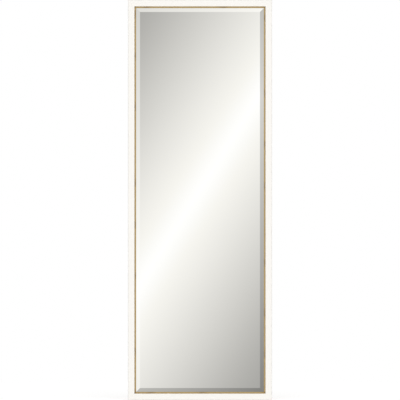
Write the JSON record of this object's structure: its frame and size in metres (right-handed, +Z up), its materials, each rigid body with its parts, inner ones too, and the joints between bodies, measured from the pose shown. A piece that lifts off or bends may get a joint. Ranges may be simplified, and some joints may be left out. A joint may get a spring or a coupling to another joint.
{
  "type": "framed wall mirror",
  "caption": "Tall wall mirror: mitred white moulding with a gilt fillet round a bevelled silvered plate, with ring hangers behind to hang it upright or on its side.",
  "frame": {"origin": "middle of the mirror on the wall plane, which the bumpers' outer faces lie on", "axes": "+Z up along the stiles, +Y into the wall, +X to the right as seen from the front"},
  "size_m": [0.4572, 0.027, 1.27],
  "materials": {
    "painted_wood": "satin warm white paint on the face and edges, bare wood behind",
    "gilt_wood": "antique gilt, rubbed darker in places",
    "silvered_glass": "polished silvered plate with a ground and polished bevel",
    "corrugated_card": "plain card",
    "hardboard": "smooth pressed board",
    "point_steel": "oiled spring steel",
    "nail_steel": "bright steel",
    "strap_steel": "zinc plated",
    "ring_steel": "zinc plated wire",
    "screw_steel": "zinc plated",
    "bumper_rubber": "soft matt rubber"
  },
  "bodies": {
    "mirror": {"frame_rail_top": "painted_wood", "frame_rail_bottom": "painted_wood", "frame_stile_left": "painted_wood", "frame_stile_right": "painted_wood", "gilt_fillet_top": "gilt_wood", "gilt_fillet_bottom": "gilt_wood", "gilt_fillet_left": "gilt_wood", "gilt_fillet_right": "gilt_wood", "mirror_glass": "silvered_glass", "filler_pad": "corrugated_card", "backing_board": "hardboard", "points_top": "point_steel", "points_bottom": "point_steel", "points_left": "point_steel", "points_right": "point_steel", "corner_v_nails": "nail_steel", "hanger_strap_left": "strap_steel", "hanger_strap_right": "strap_steel", "hanger_strap_top": "strap_steel", "hanger_strap_bottom": "strap_steel", "hanger_screws_left": "screw_steel", "hanger_screws_right": "screw_steel", "hanger_screws_top": "screw_steel", "hanger_screws_bottom": "screw_steel", "bumper_top_left": "bumper_rubber", "bumper_top_right": "bumper_rubber", "bumper_bottom_left": "bumper_rubber", "bumper_bottom_right": "bumper_rubber"},
    "ring_left": {"hanger_ring_left": "ring_steel"},
    "ring_right": {"hanger_ring_right": "ring_steel"},
    "ring_top": {"hanger_ring_top": "ring_steel"},
    "ring_bottom": {"hanger_ring_bottom": "ring_steel"}
  },
  "joints": [
    {"name": "ring_left_flip", "type": "hinge", "parent": "mirror", "child": "ring_left", "pos_m": [-0.21987, -0.0031, 0.445], "axis": [-1, 0, 0], "range_deg": [-3, 175]},
    {"name": "ring_right_flip", "type": "hinge", "parent": "mirror", "child": "ring_right", "pos_m": [0.21987, -0.0031, 0.445], "axis": [-1, 0, 0], "range_deg": [-3, 175]},
    {"name": "ring_top_flip", "type": "hinge", "parent": "mirror", "child": "ring_top", "pos_m": [-0.0986, -0.0031, 0.62628], "axis": [0, 0, -1], "range_deg": [-3, 175]},
    {"name": "ring_bottom_flip", "type": "hinge", "parent": "mirror", "child": "ring_bottom", "pos_m": [-0.0986, -0.0031, -0.62628], "axis": [0, 0, -1], "range_deg": [-3, 175]}
  ]
}
